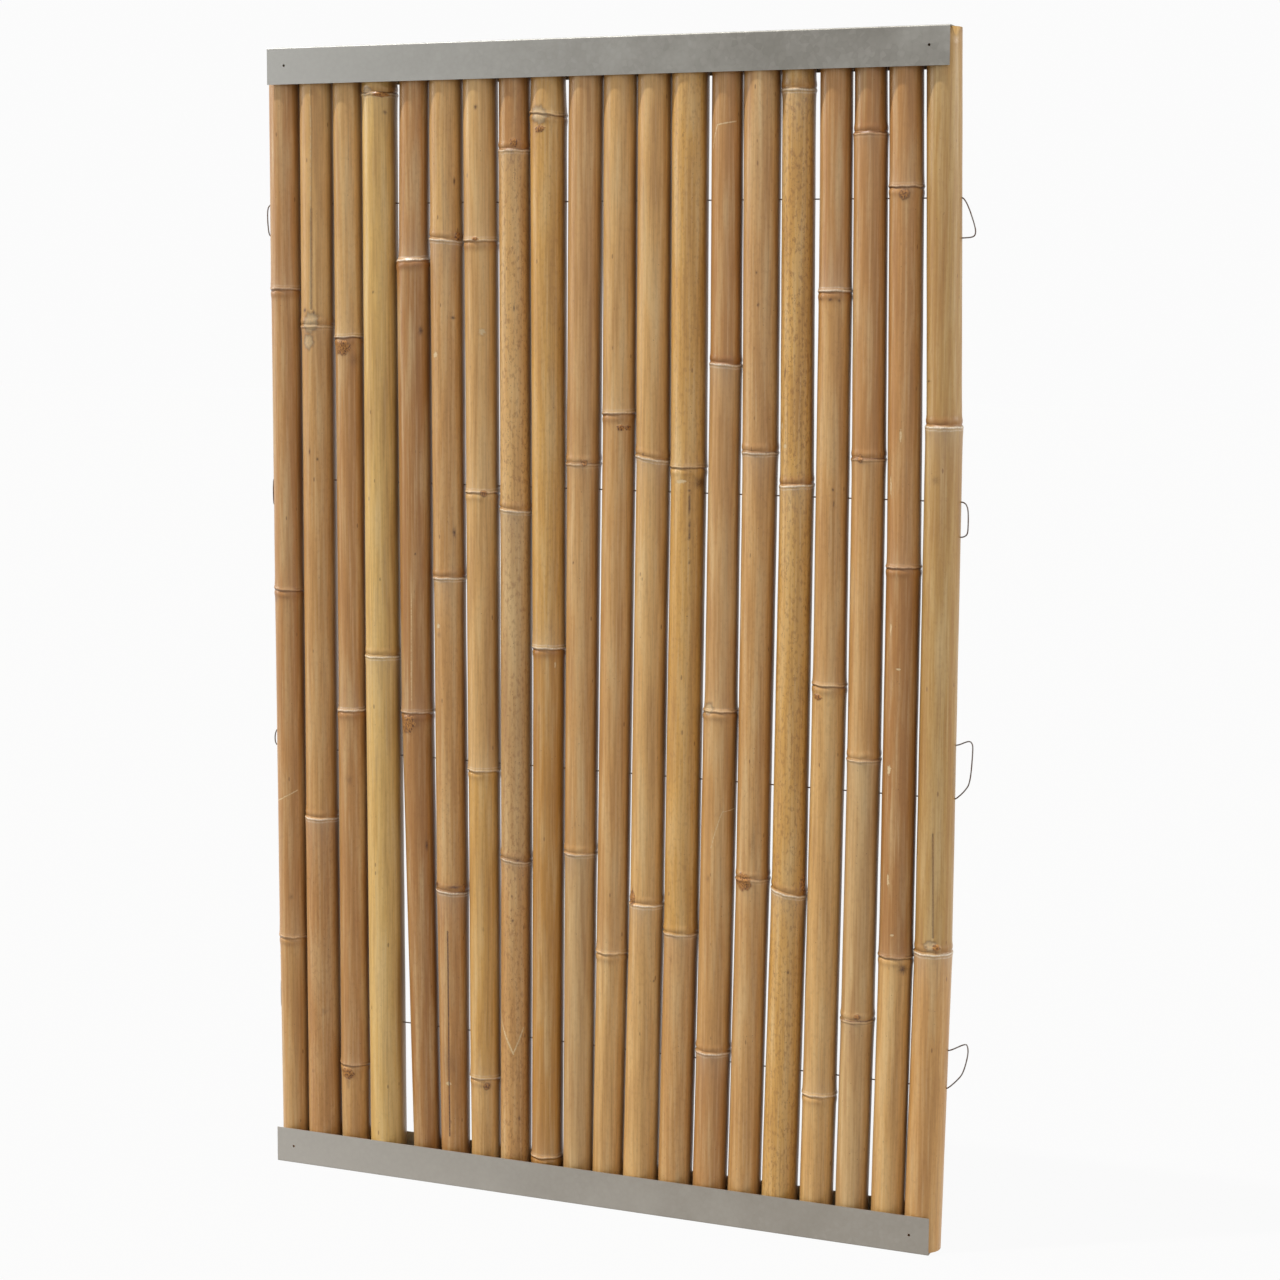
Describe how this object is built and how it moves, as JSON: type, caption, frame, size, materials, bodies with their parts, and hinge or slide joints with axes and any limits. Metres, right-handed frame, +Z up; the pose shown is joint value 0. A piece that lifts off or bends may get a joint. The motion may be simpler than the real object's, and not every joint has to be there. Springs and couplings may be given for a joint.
{
  "type": "bamboo fence panel",
  "caption": "screen of upright bamboo canes held between two folded zinc channels and threaded on steel wires with a loop at either end",
  "frame": {"origin": "under the middle of the bottom rail, in the plane that the panel stands on", "axes": "X along the rails to the right as seen from the front, Y through the panel towards the back, Z up"},
  "size_m": [1.1691, 0.062, 1.8],
  "materials": {
    "zinc_sheet": "matt zinc-coated sheet with a faint spangle",
    "bamboo": "dried bamboo, tan to golden, with a satin skin and scarred nodes",
    "zinc_wire": "dull galvanised wire"
  },
  "bodies": {
    "root": {"bottom_rail": "zinc_sheet", "top_rail": "zinc_sheet", "cane_01": "bamboo", "cane_02": "bamboo", "cane_03": "bamboo", "cane_04": "bamboo", "cane_05": "bamboo", "cane_06": "bamboo", "cane_07": "bamboo", "cane_08": "bamboo", "cane_09": "bamboo", "cane_10": "bamboo", "cane_11": "bamboo", "cane_12": "bamboo", "cane_13": "bamboo", "cane_14": "bamboo", "cane_15": "bamboo", "cane_16": "bamboo", "cane_17": "bamboo", "cane_18": "bamboo", "cane_19": "bamboo", "cane_20": "bamboo", "wire_1": "zinc_wire", "wire_2": "zinc_wire", "wire_3": "zinc_wire", "wire_4": "zinc_wire"}
  },
  "joints": []
}
